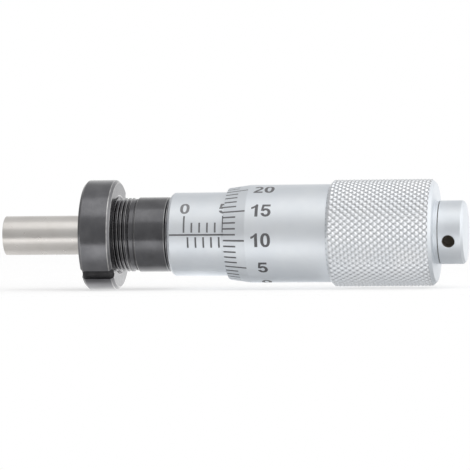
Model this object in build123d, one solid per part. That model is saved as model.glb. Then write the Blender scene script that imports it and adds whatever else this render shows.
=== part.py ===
from build123d import *
from math import cos, pi, radians, sin
import os

# Micrometer head for building into a fixture, 0 to 13 mm by 0.01 mm, all sizes in millimetres.
# X is the axis of the spindle, with the cap towards +X and the measuring face towards -X.
# The origin is on that axis at the mounting shoulder, which is the front face of the sleeve.
# The datum line of the sleeve faces -Y, and Z is up.

# Measuring screw and its scales
screw_pitch = 0.5
measuring_range = 13.0
reading = 5.11
thimble_divisions = 50
zero_mark_x = 2.22

# Clearances, each on the radius
guide_clearance = 0.015
thread_clearance = 0.02
taper_clearance = 0.02
thimble_clearance = 0.12
clamp_clearance = 0.03

# Stem: mounting seat, neck, clamp thread, guide bore and slit rear nut
seat_diameter = 9.5
seat_length = 4.4
seat_edge = 0.1
carrier_step = 0.2
undercut_width = 0.3
groove_width = 0.15
groove_depth = 0.3
neck_step = 0.18
neck_length = 0.5
front_thread_step = 0.05
front_thread_length = 6.15
front_edge = 0.25
guide_length = 15.7
run_out_step = 0.25
run_out_gap = 0.39
nut_thread_length = 7.1
nut_wall = 1.03
slit_count = 3
slit_width = 0.5
slit_length = 5.6

# Graduated sleeve, whose front face is the mounting shoulder
sleeve_wall = 0.75
sleeve_overlap = 3.78
shoulder_clearance = 0.03
shoulder_width = 0.28
shoulder_relief_depth = 0.3
sleeve_chamfer_length = 0.30
sleeve_rear_edge = 0.1

# Clamp nut
clamp_nut_wall = 2.27
clamp_nut_thickness = 4.1
clamp_nut_gap = 7.05
clamp_nut_chamfer = 0.35
clamp_nut_countersink = 0.3
clamp_slot_count = 2
clamp_slot_angle = 46.0
clamp_slot_width = 1.5
clamp_slot_depth = 0.9

# Adjusting nut
adjuster_seat_length = 3.7
adjuster_taper = 0.2
adjuster_wall = 0.75
adjuster_length = 3.2
adjuster_gap = 0.2
adjuster_edge = 0.2
adjuster_slot_count = 4
adjuster_slot_width = 0.8
adjuster_slot_depth = 0.7

# Spindle
spindle_diameter = 5.0
spindle_reach = 27.01
spindle_edge = 0.05
spindle_thread_step = 0.35
spindle_thread_edge = 0.2
spindle_thread_end_gap = 1.2
taper_step = 0.3
taper_lead = 0.4
taper_slope = 0.1
taper_end_gap = 0.3
stud_diameter = 2.9
stud_edge = 0.2

# Thimble
edge_wall = 0.4
bevel_rise = 0.38
bevel_length = 2.77
end_room = 3.34
end_wall = 2.55
end_chamfer = 0.41
collar_diameter = 8.0
collar_length = 0.45
mouth_edge = 0.1

# Diamond knurl
knurl_rise = 0.55
knurl_depth = 0.24
knurl_count = 52
knurl_rows = 27
knurl_half_pitch = 0.4778
knurl_step = 0.04

# Cap
cap_diameter = 8.0
cap_chamfer = 0.3
cap_end_wall = 0.65
seam_width = 0.12
seam_depth = 0.2
tapped_depth = 2.6
stud_end_gap = 0.4
spanner_hole_diameter = 1.6
spanner_hole_depth = 1.5
spanner_hole_offset = 1.42
spanner_hole_angle = 16.5

# Engraved scales
line_width = 0.2
line_depth = 0.06
datum_gap = 0.2
datum_overrun = 1.0
mark_length = 1.25
long_mark_length = 2.15
half_mark_length = 1.35
long_mark_step = 5
short_line_length = 1.6
long_line_length = 2.77
long_line_step = 5

# Radii that follow from the sizes above
seat_r = seat_diameter / 2
carrier_r = seat_r - carrier_step
front_thread_r = seat_r - front_thread_step
sleeve_r = carrier_r + sleeve_wall
thimble_bore_r = sleeve_r + thimble_clearance
edge_r = thimble_bore_r + edge_wall
barrel_r = edge_r + bevel_rise
crest_r = barrel_r + knurl_rise
spindle_r = spindle_diameter / 2
spindle_thread_r = spindle_r + spindle_thread_step
rear_nut_r = spindle_thread_r + thread_clearance
adjuster_seat_r = rear_nut_r + nut_wall

# Places along the axis that follow from the sizes above
seat_front_x = -seat_length
neck_rear_x = seat_front_x - groove_width
thread_rear_x = neck_rear_x - neck_length
stem_front_x = thread_rear_x - front_thread_length
guide_rear_x = stem_front_x + guide_length
scale_end_x = zero_mark_x + measuring_range
sleeve_rear_x = scale_end_x + sleeve_overlap
stem_rear_x = sleeve_rear_x + adjuster_seat_length
clamp_nut_rear_x = -clamp_nut_gap
measuring_face_x = reading - spindle_reach
spindle_thread_x = reading + guide_rear_x + run_out_gap
thimble_edge_x = zero_mark_x + reading
bore_end_x = stem_rear_x + reading + end_room
end_face_x = bore_end_x + end_wall
collar_rear_x = end_face_x + collar_length
knurl_rear_x = end_face_x - end_chamfer
knurl_front_x = knurl_rear_x - knurl_rows * knurl_half_pitch
taper_front_x = bore_end_x - taper_lead
taper_rear_x = collar_rear_x - taper_end_gap
tapped_end_x = collar_rear_x + tapped_depth
stud_rear_x = tapped_end_x - stud_end_gap
cap_rear_x = tapped_end_x + cap_end_wall


def taper_radius(x):
    """Radius of the spindle's taper seat at a place along the axis."""
    return spindle_r + taper_step - (x - taper_front_x) * taper_slope


def turned(profile):
    """A solid of revolution about X from its half section, a list of (x, radius) points."""
    return revolve(make_face(Polyline(profile, close=True)), Axis.X, 360)


def facing(angle):
    """A frame on the axis whose x leaves the surface at an angle from -Y towards -Z, with y along +X."""
    return Plane(
        origin=(0, 0, 0),
        x_dir=(0, -cos(radians(angle)), -sin(radians(angle))),
        z_dir=(0, -sin(radians(angle)), cos(radians(angle))),
    )


def bar(angle, low_r, high_r, low_x, high_x, width):
    """A straight bar standing on the axis at an angle, for slots and engraved lines."""
    block = Box(high_r - low_r, high_x - low_x, width)
    return facing(angle) * Pos((low_r + high_r) / 2, (low_x + high_x) / 2, 0) * block


def make_stem():
    """Stem: mounting seat, clamp thread, guide bore and slit rear nut, turned from one bar."""
    guide_r = spindle_r + guide_clearance
    nut_front_x = stem_rear_x - nut_thread_length
    run_out_r = spindle_thread_r + run_out_step
    stem = turned(
        [
            (stem_front_x, guide_r + front_edge),
            (stem_front_x, front_thread_r - front_edge),
            (stem_front_x + front_edge, front_thread_r),
            (thread_rear_x - front_thread_step, front_thread_r),
            (thread_rear_x, seat_r - neck_step),
            (neck_rear_x, seat_r - neck_step),
            (neck_rear_x, seat_r - groove_depth),
            (seat_front_x, seat_r - groove_depth),
            (seat_front_x, seat_r - seat_edge),
            (seat_front_x + seat_edge, seat_r),
            (-carrier_step - undercut_width, seat_r),
            (-undercut_width, carrier_r),
            (sleeve_rear_x, carrier_r),
            (sleeve_rear_x, adjuster_seat_r),
            (stem_rear_x, adjuster_seat_r - adjuster_taper),
            (stem_rear_x, rear_nut_r),
            (nut_front_x, rear_nut_r),
            (nut_front_x, run_out_r),
            (guide_rear_x, run_out_r),
            (guide_rear_x, guide_r),
            (stem_front_x + front_edge, guide_r),
        ]
    )
    slit_front_x = stem_rear_x - slit_length
    for i in range(slit_count):
        angle = i * 360 / slit_count
        stem -= bar(angle, 0, seat_diameter, slit_front_x, stem_rear_x + slit_width, slit_width)
    return stem


def make_sleeve():
    """Graduated sleeve: a thin tube with the datum line, millimetre marks above it and half marks below.

    Its bore is relieved at the front, so that the shoulder's flat ring starts outside the seat.
    """
    relief_r = seat_r + shoulder_clearance
    tube = turned(
        [
            (0, relief_r),
            (0, relief_r + shoulder_width),
            (sleeve_chamfer_length, sleeve_r),
            (sleeve_rear_x - sleeve_rear_edge, sleeve_r),
            (sleeve_rear_x, sleeve_r - sleeve_rear_edge),
            (sleeve_rear_x, carrier_r),
            (shoulder_relief_depth, carrier_r),
            (shoulder_relief_depth, relief_r),
        ]
    )
    datum_end_x = scale_end_x + datum_overrun
    low_r, high_r = sleeve_r - line_depth, sleeve_r + line_depth
    lines = [bar(0, low_r, high_r, sleeve_chamfer_length, datum_end_x, line_width)]
    for i in range(int(measuring_range) + 1):
        length = long_mark_length if i % long_mark_step == 0 else mark_length
        lines.append(scale_mark(zero_mark_x + i, length, -1))
    for i in range(int(measuring_range)):
        lines.append(scale_mark(zero_mark_x + i + 0.5, half_mark_length, 1))
    return tube - lines


def scale_mark(x, length, side):
    """One mark of the sleeve's scale, an arc of groove above (-1) or below (1) the datum line."""
    ring = turned(
        [
            (x - line_width / 2, sleeve_r - line_depth),
            (x - line_width / 2, sleeve_r + line_depth),
            (x + line_width / 2, sleeve_r + line_depth),
            (x + line_width / 2, sleeve_r - line_depth),
        ]
    )
    start = (datum_gap + line_width / 2) / sleeve_r
    return ring & wedge(side * start, side * (start + length / sleeve_r))


def wedge(start, end):
    """A wedge about the axis, along the whole sleeve, between two angles in radians from -Y towards -Z."""
    reach = 2 * sleeve_r
    corners = [(0, 0, 0)]
    for angle in (start, end):
        corners.append((0, -reach * cos(angle), -reach * sin(angle)))
    return extrude(make_face(Polyline(corners, close=True)), sleeve_rear_x, dir=(1, 0, 0))


def make_clamp_nut():
    """Clamp nut: a thin round nut with a chamfered rim, a countersunk bore and spanner slots."""
    bore_r = front_thread_r + clamp_clearance
    outer_r = bore_r + clamp_nut_wall
    front_x = clamp_nut_rear_x - clamp_nut_thickness
    nut = turned(
        [
            (front_x, bore_r + clamp_nut_countersink),
            (front_x, outer_r - clamp_nut_chamfer),
            (front_x + clamp_nut_chamfer, outer_r),
            (clamp_nut_rear_x - clamp_nut_chamfer, outer_r),
            (clamp_nut_rear_x, outer_r - clamp_nut_chamfer),
            (clamp_nut_rear_x, bore_r + clamp_nut_countersink),
            (clamp_nut_rear_x - clamp_nut_countersink, bore_r),
            (front_x + clamp_nut_countersink, bore_r),
        ]
    )
    low_r, high_r = outer_r - clamp_slot_depth, outer_r + clamp_slot_depth
    low_x, high_x = front_x - clamp_slot_width, clamp_nut_rear_x + clamp_slot_width
    for i in range(clamp_slot_count):
        angle = clamp_slot_angle + i * 360 / clamp_slot_count
        nut -= bar(angle, low_r, high_r, low_x, high_x, clamp_slot_width)
    return nut


def make_adjusting_nut():
    """Adjusting nut: closes the slit rear of the stem on the spindle's thread."""
    slope = adjuster_taper / adjuster_seat_length
    front_x = sleeve_rear_x + adjuster_gap
    rear_x = front_x + adjuster_length
    seat_clear_r = adjuster_seat_r + thread_clearance
    outer_r = seat_clear_r + adjuster_wall
    nut = turned(
        [
            (front_x, seat_clear_r - adjuster_gap * slope),
            (front_x, outer_r - adjuster_edge),
            (front_x + adjuster_edge, outer_r),
            (rear_x - adjuster_edge, outer_r),
            (rear_x, outer_r - adjuster_edge),
            (rear_x, seat_clear_r - (adjuster_gap + adjuster_length) * slope),
        ]
    )
    low_x, high_x = rear_x - adjuster_slot_depth, rear_x + adjuster_slot_depth
    for i in range(adjuster_slot_count):
        angle = i * 360 / adjuster_slot_count
        nut -= bar(angle, 0, 2 * outer_r, low_x, high_x, adjuster_slot_width)
    return nut


def make_spindle():
    """Spindle: measuring face, ground shank, measuring thread, taper seat and stud for the cap."""
    stud_r = stud_diameter / 2
    thread_end_x = bore_end_x - spindle_thread_end_gap
    return turned(
        [
            (measuring_face_x, 0),
            (measuring_face_x, spindle_r - spindle_edge),
            (measuring_face_x + spindle_edge, spindle_r),
            (spindle_thread_x, spindle_r),
            (spindle_thread_x + spindle_thread_edge, spindle_thread_r),
            (thread_end_x - spindle_thread_edge, spindle_thread_r),
            (thread_end_x, spindle_r),
            (taper_front_x, spindle_r),
            (taper_front_x, taper_radius(taper_front_x)),
            (taper_rear_x, taper_radius(taper_rear_x)),
            (taper_rear_x, stud_r),
            (stud_rear_x - stud_edge, stud_r),
            (stud_rear_x, stud_r - stud_edge),
            (stud_rear_x, 0),
        ]
    )


def knurl_ring():
    """Diamond knurl: rows of points on a checkerboard of crests and groove crossings.

    Row m lies half a diamond's length behind the one before, and each row has two points for each
    diamond around the grip. Where m + k is even the point is a crest, and elsewhere two grooves cross.
    Each cell is folded along the groove between its two crossings, so four faces make one pointed
    diamond. Both ends of the grip run down a chamfer, which limits the height of the rows there.
    """
    points_round = 2 * knurl_count
    inner_r = barrel_r - knurl_depth
    run_out_height = knurl_depth / 2

    def point(m, k):
        height = crest_r if (m + k) % 2 == 0 else crest_r - knurl_depth
        front_limit = barrel_r + knurl_step + m * knurl_half_pitch
        rear_limit = crest_r - run_out_height + (knurl_rows - m) * knurl_half_pitch
        r = min(height, front_limit, rear_limit)
        if m == knurl_rows:
            r = crest_r - run_out_height
        angle = 2 * pi * k / points_round
        return Vector(knurl_front_x + m * knurl_half_pitch, -r * cos(angle), -r * sin(angle))

    rows = [[point(m, k) for k in range(points_round)] for m in range(knurl_rows + 1)]
    faces = []
    for m in range(knurl_rows):
        for k in range(points_round):
            after = (k + 1) % points_round
            a, b = rows[m][k], rows[m + 1][k]
            c, d = rows[m + 1][after], rows[m][after]
            if (m + k) % 2 == 0:
                faces += [flat_face(a, b, d), flat_face(b, c, d)]
            else:
                faces += [flat_face(a, b, c), flat_face(a, c, d)]
    for row in (rows[0], rows[-1]):
        bore = Wire.make_circle(inner_r, Plane((row[0].X, 0, 0), z_dir=(1, 0, 0)))
        faces.append(Face(Wire.make_polygon(row), [bore]))
    faces.append(Face.extrude(bore.edge(), (-knurl_rows * knurl_half_pitch, 0, 0)))
    return Solid(Shell(faces))


def flat_face(*corners):
    """A flat face through its corners."""
    return Face(Wire.make_polygon(corners))


def make_thimble():
    """Thimble: graduated bevel, plain barrel, knurled grip, end wall and collar, in one piece."""
    rear_r = crest_r - knurl_depth / 2
    body = turned(
        [
            (thimble_edge_x, thimble_bore_r + mouth_edge),
            (thimble_edge_x, edge_r),
            (thimble_edge_x + bevel_length, barrel_r),
            (knurl_rear_x, barrel_r),
            (knurl_rear_x, rear_r),
            (end_face_x, rear_r - end_chamfer),
            (end_face_x, collar_diameter / 2),
            (collar_rear_x, collar_diameter / 2),
            (collar_rear_x, taper_radius(collar_rear_x) + taper_clearance),
            (bore_end_x, taper_radius(bore_end_x) + taper_clearance),
            (bore_end_x, thimble_bore_r),
            (thimble_edge_x + mouth_edge, thimble_bore_r),
        ]
    )
    return body - thimble_lines() + knurl_ring()


def thimble_lines():
    """The thimble's division lines, engraved along the bevel, with every fifth one long."""
    rise = bevel_rise / bevel_length
    turned_back = reading / screw_pitch * 360
    lines = []
    for i in range(thimble_divisions):
        length = long_line_length if i % long_line_step == 0 else short_line_length
        start_x = thimble_edge_x - line_depth
        end_x = thimble_edge_x + length
        sunk = [(start_x, edge_r - line_depth * (1 + rise)), (end_x, edge_r + length * rise - line_depth)]
        clear = [(end_x, 2 * edge_r), (start_x, 2 * edge_r)]
        strip = extrude(make_face(Polyline(sunk + clear, close=True)), line_width / 2, both=True)
        lines.append(strip.rotate(Axis.X, 180 + turned_back - i * 360 / thimble_divisions))
    return lines


def make_cap():
    """Cap: holds the thimble on the taper, with a radial hole for a pin spanner."""
    cap_r = cap_diameter / 2
    tapped_r = stud_diameter / 2 + thread_clearance
    cap = turned(
        [
            (collar_rear_x, tapped_r),
            (collar_rear_x, cap_r - seam_depth),
            (collar_rear_x + seam_width, cap_r - seam_depth),
            (collar_rear_x + seam_width, cap_r),
            (cap_rear_x - cap_chamfer, cap_r),
            (cap_rear_x, cap_r - cap_chamfer),
            (cap_rear_x, 0),
            (tapped_end_x, 0),
            (tapped_end_x, tapped_r),
        ]
    )
    hole = Cylinder(spanner_hole_diameter / 2, 2 * spanner_hole_depth, rotation=(0, 90, 0))
    return cap - facing(spanner_hole_angle) * Pos(cap_r, collar_rear_x + spanner_hole_offset, 0) * hole


nodes = {
    "stem": make_stem(),
    "graduated_sleeve": make_sleeve(),
    "clamp_nut": make_clamp_nut(),
    "adjusting_nut": make_adjusting_nut(),
    "spindle": make_spindle(),
    "thimble": make_thimble(),
    "thimble_cap": make_cap(),
}

os.makedirs("parts", exist_ok=True)
for name, shape in nodes.items():
    solid = shape.solid()
    export_step(solid, f"parts/{name}.step")
    print(name, round(solid.volume, 3))
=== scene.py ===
import bmesh
import bpy
import numpy as np
from math import cos, radians, sin
from mathutils import Matrix, Vector


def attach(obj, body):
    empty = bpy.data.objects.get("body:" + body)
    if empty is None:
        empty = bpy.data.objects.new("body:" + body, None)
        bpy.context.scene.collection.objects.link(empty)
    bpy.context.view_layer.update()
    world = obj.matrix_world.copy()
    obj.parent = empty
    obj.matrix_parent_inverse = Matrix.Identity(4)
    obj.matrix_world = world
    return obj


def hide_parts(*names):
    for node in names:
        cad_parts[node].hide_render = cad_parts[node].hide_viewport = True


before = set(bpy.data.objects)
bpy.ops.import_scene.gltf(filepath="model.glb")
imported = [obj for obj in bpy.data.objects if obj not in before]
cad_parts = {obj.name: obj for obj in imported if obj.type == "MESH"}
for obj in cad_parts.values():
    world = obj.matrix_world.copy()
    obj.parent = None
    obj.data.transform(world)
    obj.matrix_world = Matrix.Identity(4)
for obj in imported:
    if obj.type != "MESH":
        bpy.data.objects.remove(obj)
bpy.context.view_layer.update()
mm = 0.001  # every size below is in millimetres and is scaled once, when a mesh is made
weldWithin = 0.0004  # points of a piece that are nearer than this become one
print("frame loaded")


def pick(v, names):
    return [v[name] for name in names.split()]


def newObject(name, data):
    thing = bpy.data.objects.new(name, data)
    bpy.context.scene.collection.objects.link(thing)
    return thing


# Camera, lamp, world and floor

view = dict(
    azimuth=10.06, elevation=1.02, roll=-0.63, distance=500.0, aim=(7.88, 0.0, -0.14),
    lens=301.3, sensor=36.0, nearest=10.0,
)


def makeCamera(v):
    # back = (sin a cos e, -cos a cos e, sin e) points from the aim to the camera,
    # and right and up are turned about it by the roll
    a, e, roll = radians(v["azimuth"]), radians(v["elevation"]), radians(v["roll"])
    back = Vector((sin(a) * cos(e), -cos(a) * cos(e), sin(e)))
    level = Vector((cos(a), sin(a), 0))
    up = back.cross(level)
    right = level * cos(roll) + up * sin(roll)
    up = back.cross(right)
    place = (Vector(v["aim"]) + back * v["distance"]) * mm
    data = bpy.data.cameras.new("photoCamera")
    data.lens, data.sensor_width, data.clip_start = v["lens"], v["sensor"], v["nearest"] * mm
    camera = newObject("photoCamera", data)
    turn = Matrix((right, up, back)).transposed().to_4x4()
    camera.matrix_world = Matrix.Translation(place) @ turn
    bpy.context.scene.camera = camera


topBox = dict(
    elevation=63.0, distance=460.0, along=170.0, length=620.0, width=380.0, power=0.44, tint=(1.0, 0.995, 0.985),
)


def makeLamp(name, v):
    # the lamp stands at an elevation in front of the axis, and its -Z looks at the axis
    e = radians(v["elevation"])
    away = Vector((0, -cos(e), sin(e)))
    across = Vector((1, 0, 0))
    data = bpy.data.lights.new(name, "AREA")
    data.shape, data.size, data.size_y = "RECTANGLE", v["length"] * mm, v["width"] * mm
    data.energy, data.color = v["power"], v["tint"]
    turn = Matrix((across, away.cross(across), away)).transposed().to_4x4()
    place = (across * v["along"] + away * v["distance"]) * mm
    newObject(name, data).matrix_world = Matrix.Translation(place) @ turn


def addNode(tree, kind, settings=None, inputs=None):
    node = tree.nodes.new("ShaderNode" + kind)
    for key, value in (settings or {}).items():
        setattr(node, key, value)
    for key, value in (inputs or {}).items():
        if isinstance(value, bpy.types.NodeSocket):
            tree.links.new(value, node.inputs[key])
        else:
            node.inputs[key].default_value = value
    return node


def mathOf(tree, operation, *values, clamp=False):
    settings = {"operation": operation, "use_clamp": clamp}
    return addNode(tree, "Math", settings, dict(enumerate(values))).outputs[0]


def spread(tree, value, fromLow, fromHigh, toLow, toHigh, kind="LINEAR"):
    inputs = {"Value": value, "From Min": fromLow, "From Max": fromHigh, "To Min": toLow, "To Max": toHigh}
    return addNode(tree, "MapRange", {"interpolation_type": kind}, inputs).outputs[0]


def fadeOf(tree, place, span, low, high):
    # smoothly from low to high while the place, x or y, passes over the span
    return spread(tree, place, span[0] * mm, span[1] * mm, low, high, "SMOOTHSTEP")


def partsOf(tree, vector):
    return addNode(tree, "SeparateXYZ", None, {0: vector}).outputs


def raysOf(tree):
    # 1 for a ray that sees the background straight or through glass, and 1 for one that metal reflects
    rays = addNode(tree, "LightPath").outputs
    return mathOf(tree, "MAXIMUM", rays["Is Camera Ray"], rays["Is Transmission Ray"]), rays["Is Glossy Ray"]


room = dict(leftShade=0.37, rightShade=1.28, sideCurve=2.6, ceilingLift=0.22, whiteFrom=0.60, whiteTo=1.05)
white = (1, 1, 1, 1)


def makeWorld(v):
    # the camera sees white. A ray that lights the object meets a room that is dim on the left, paler on the
    # right and overhead, and behind the object as white as the backdrop
    world = bpy.data.worlds.new("paleRoom")
    world.use_nodes = True
    tree = world.node_tree
    tree.nodes.clear()
    direction = partsOf(tree, addNode(tree, "TexCoord").outputs["Generated"])
    across = mathOf(tree, "POWER", spread(tree, direction["X"], -1.0, 1.0, 0.0, 1.0), v["sideCurve"])
    side = spread(tree, across, 0.0, 1.0, v["leftShade"], v["rightShade"])
    overhead = mathOf(tree, "MULTIPLY_ADD", direction["Z"], v["ceilingLift"], side)
    shade = spread(tree, direction["Y"], v["whiteFrom"], v["whiteTo"], overhead, 1.0, "SMOOTHSTEP")
    roomLight = addNode(tree, "Background", None, {"Color": white, "Strength": shade}).outputs[0]
    backdrop = addNode(tree, "Background", None, {"Color": white, "Strength": 1.0}).outputs[0]
    mixed = addNode(tree, "MixShader", None, {0: raysOf(tree)[0], 1: roomLight, 2: backdrop})
    output = addNode(tree, "OutputWorld")
    tree.links.new(mixed.outputs[0], output.inputs["Surface"])
    bpy.context.scene.world = world


# a ramp is a row of (x, lift), and a fade is the span of y over which one lift gives way to the next
floorSheet = dict(
    front=-24.0, back=260.0, left=-190.0, right=200.0, corner=10.0, cornerSteps=8, height=-7.03,
    paint=0.50, grain=0.01, grainScale=60.0, roughness=0.6, lift=0.56,
    frontRamp=((-30, 0.90), (17, 0.88), (21, 0.62), (31, 0.62), (34, 1.0), (42, 1.0)), frontFade=(-13.5, -6.0),
    shadeRamp=((-30, 0.30), (18.5, 0.30), (20, 0.46), (32.5, 0.46), (34.5, 0.15), (42, 0.15)),
    nutSpan=(-11.5, -6.5), nutEdge=1.5, nutLift=0.82, nutFade=(-3.6, -2.4),
    backRamp=(
        (-30, 0.50), (-12.5, 0.50), (-9.5, 0.95), (3, 0.95), (8, 0.74), (19, 0.64),
        (26, 0.36), (33, 0.36), (35, 0.26), (40, 0.26),
    ),
    backFade=(-2.8, 0.7), farLift=0.85, farFade=(9.0, 30.0),
)


def rampOf(tree, x, stops):
    # straight runs between the stops
    first, last = stops[0][0], stops[-1][0]
    ramp = addNode(tree, "ValToRGB", None, {0: spread(tree, x, first * mm, last * mm, 0.0, 1.0)})
    elements = ramp.color_ramp.elements
    elements[1].color = [stops[-1][1]] * 3 + [1]
    elements[0].color = [stops[0][1]] * 3 + [1]
    for place, lift in stops[1:-1]:
        elements.new((place - first) / (last - first)).color = [lift] * 3 + [1]
    return ramp.outputs[0]


def makePaleFloor(v):
    # the camera sees one white lift all over. Metal sees a painted reflection instead, a glow that changes with
    # the place: the front ramp, the shade under the object with a brighter patch of glow below the clamp nut,
    # the back ramp and the far floor
    material = bpy.data.materials.new("paleFloor")
    material.use_nodes = True
    tree = material.node_tree
    tree.nodes.clear()
    position = addNode(tree, "TexCoord").outputs["Object"]
    place = partsOf(tree, position)
    x, y = place["X"], place["Y"]
    noise = addNode(tree, "TexNoise", None, {"Vector": position, "Scale": v["grainScale"], "Detail": 4.0})
    tone = spread(tree, noise.outputs[0], 0.0, 1.0, v["paint"] - v["grain"], v["paint"] + v["grain"])
    paint = addNode(tree, "BsdfDiffuse", None, {"Color": tone, "Roughness": v["roughness"]})
    # a patch of painted glow under the clamp nut, which only metal sees
    edge, (low, high) = v["nutEdge"], v["nutSpan"]
    rise = fadeOf(tree, x, (low - edge, low), 0.0, v["nutLift"])
    nutGlow = mathOf(tree, "MULTIPLY", rise, fadeOf(tree, x, (high, high + edge), 1.0, 0.0))
    nutReflectionGlow = fadeOf(tree, y, v["nutFade"], 0.0, nutGlow)
    shade = mathOf(tree, "ADD", nutReflectionGlow, rampOf(tree, x, v["shadeRamp"]))
    inFront = fadeOf(tree, y, v["frontFade"], rampOf(tree, x, v["frontRamp"]), shade)
    back = fadeOf(tree, y, v["farFade"], rampOf(tree, x, v["backRamp"]), v["farLift"])
    behind = fadeOf(tree, y, v["backFade"], 0.0, back)
    direct, glossy = raysOf(tree)
    # only metal sees these lifts: painted reflections, shaped along x and y
    inMetal = mathOf(tree, "MULTIPLY", glossy, mathOf(tree, "MAXIMUM", inFront, behind))
    strength = mathOf(tree, "MULTIPLY_ADD", direct, v["lift"], inMetal)
    glow = addNode(tree, "Emission", None, {"Color": white, "Strength": strength})
    both = addNode(tree, "AddShader", None, {0: paint.outputs[0], 1: glow.outputs[0]})
    output = addNode(tree, "OutputMaterial")
    tree.links.new(both.outputs[0], output.inputs["Surface"])
    return material


def makeFloor(v):
    # a flat sheet with round corners: each corner is an arc x = c + r cos t, y = d + r sin t
    t = np.linspace(0, np.pi / 2, v["cornerSteps"] + 1)
    outline = []
    for number, (sideX, sideY) in enumerate(((1, 1), (-1, 1), (-1, -1), (1, -1))):
        turn = t + number * np.pi / 2
        arcX = (v["right"] if sideX > 0 else v["left"]) - sideX * v["corner"] + v["corner"] * np.cos(turn)
        arcY = (v["back"] if sideY > 0 else v["front"]) - sideY * v["corner"] + v["corner"] * np.sin(turn)
        outline.append(np.stack((arcX, arcY, np.full(len(t), v["height"])), axis=-1))
    points = np.concatenate(outline) * mm
    mesh = bpy.data.meshes.new("floorSheet")
    mesh.from_pydata(points.tolist(), [], [list(range(len(points)))])
    mesh.materials.append(makePaleFloor(v))
    sheet = newObject("floorSheet", mesh)


makeCamera(view)
makeLamp("topBox", topBox)
makeWorld(room)
makeFloor(floorSheet)
bpy.context.scene.view_settings.view_transform = "Standard"
print("camera, lamp, world and floor placed")

# Finishes. Scales are in cells a metre, and a bump is (depth in millimetres, strength)

bendScale = 400.0  # the slow noise that bends the turning marks


def newFinish(name, sockets):
    material = bpy.data.materials.new(name)
    material.use_nodes = True
    tree = material.node_tree
    shader = tree.nodes["Principled BSDF"]
    for key, value in sockets.items():
        shader.inputs[key].default_value = value
    return material, tree, shader


def feed(tree, shader, sources):
    for key, source in sources.items():
        tree.links.new(source, shader.inputs[key])


def noiseOf(tree, vector, scale, detail=3.0, low=0.0, high=1.0, dimensions="3D"):
    # nearly all of a noise lies between 0.3 and 0.7, and that is spread from low to high
    key = "W" if dimensions == "1D" else "Vector"
    inputs = {key: vector, "Scale": scale, "Detail": detail}
    noise = addNode(tree, "TexNoise", {"noise_dimensions": dimensions}, inputs)
    return spread(tree, noise.outputs[0], 0.3, 0.7, low, high)


def turningMarks(tree, scale, wander):
    # fine rings around the axis: one-way noise along x, bent a little, by wander in metres
    position = addNode(tree, "TexCoord").outputs["Object"]
    bend = noiseOf(tree, position, bendScale, 2.0, -wander, wander)
    bentX = mathOf(tree, "ADD", partsOf(tree, position)["X"], bend)
    return position, noiseOf(tree, bentX, scale, dimensions="1D")


def mixColours(tree, factor, first, second):
    node = tree.nodes.new("ShaderNodeMix")
    node.data_type = "RGBA"
    tree.links.new(factor, node.inputs[0])
    for socket, value in ((node.inputs[6], first), (node.inputs[7], second)):
        if isinstance(value, bpy.types.NodeSocket):
            tree.links.new(value, socket)
        else:
            socket.default_value = value
    return node.outputs[2]


def setBumps(tree, shader, *layers):
    # each bump is laid over the one before
    normal = None
    for height, (depth, strength) in layers:
        inputs = {"Height": height, "Distance": depth * mm, "Strength": strength}
        if normal:
            inputs["Normal"] = normal
        normal = addNode(tree, "Bump", None, inputs).outputs[0]
    tree.links.new(normal, shader.inputs["Normal"])


def attributeOf(tree, name):
    return addNode(tree, "Attribute", {"attribute_name": name}).outputs["Fac"]


satin = dict(
    cool=(0.785, 0.82, 0.86, 1), pale=(0.83, 0.86, 0.89, 1), cloudScale=260.0, rough=(0.48, 0.54),
    roughScale=900.0, ringScale=9000.0, wander=0.00004, ringBump=(0.0012, 0.5), blastScale=14000.0,
    blastBump=(0.0016, 0.6),
    ink=(0.225, 0.225, 0.235, 1), recessShade=(0.180, 0.155, 0.122, 1), markRoughness=0.25,
)
# the grip is a paler copy of the satin chrome: painted light on the knurl
grip = dict(
    satin, cool=(0.855, 0.88, 0.91, 1), pale=(0.895, 0.91, 0.93, 1), rough=(0.30, 0.36),
    recessShade=(0.30, 0.30, 0.31, 1),
)


def makeSatinChrome(name, v, mark):
    # the mark is an attribute: ink lies in the grooves of a scale, and painted shade lies in pits, holes and the
    # cap's seam
    material, tree, shader = newFinish(name, {})
    position, rings = turningMarks(tree, v["ringScale"], v["wander"])
    amount = attributeOf(tree, mark)
    metal = mixColours(tree, noiseOf(tree, position, v["cloudScale"]), v["cool"], v["pale"])
    rough = noiseOf(tree, position, v["roughScale"], 3.0, *v["rough"])
    feed(tree, shader, {
        "Base Color": mixColours(tree, amount, metal, v[mark]),
        "Metallic": mathOf(tree, "SUBTRACT", 1.0, amount),
        "Roughness": mathOf(tree, "MULTIPLY_ADD", amount, v["markRoughness"], rough),
    })
    blast = noiseOf(tree, position, v["blastScale"], 2.0)
    setBumps(tree, shader, (rings, v["ringBump"]), (blast, v["blastBump"]))
    return material


steel = dict(
    warm=(0.72, 0.69, 0.66, 1), bright=(0.78, 0.755, 0.725, 1), cloudScale=350.0, rough=(0.27, 0.33),
    roughScale=1200.0, ringScale=16000.0, wander=0.00002, ringBump=(0.002, 0.7), speckScale=20000.0,
    speckBump=(0.0005, 0.3),
)
turnedSteel = dict(
    warm=(0.44, 0.43, 0.42, 1), bright=(0.60, 0.59, 0.57, 1), cloudScale=700.0, rough=(0.30, 0.42),
    roughScale=1100.0, ringScale=6000.0, wander=0.00005, ringBump=(0.004, 0.8),
)


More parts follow.
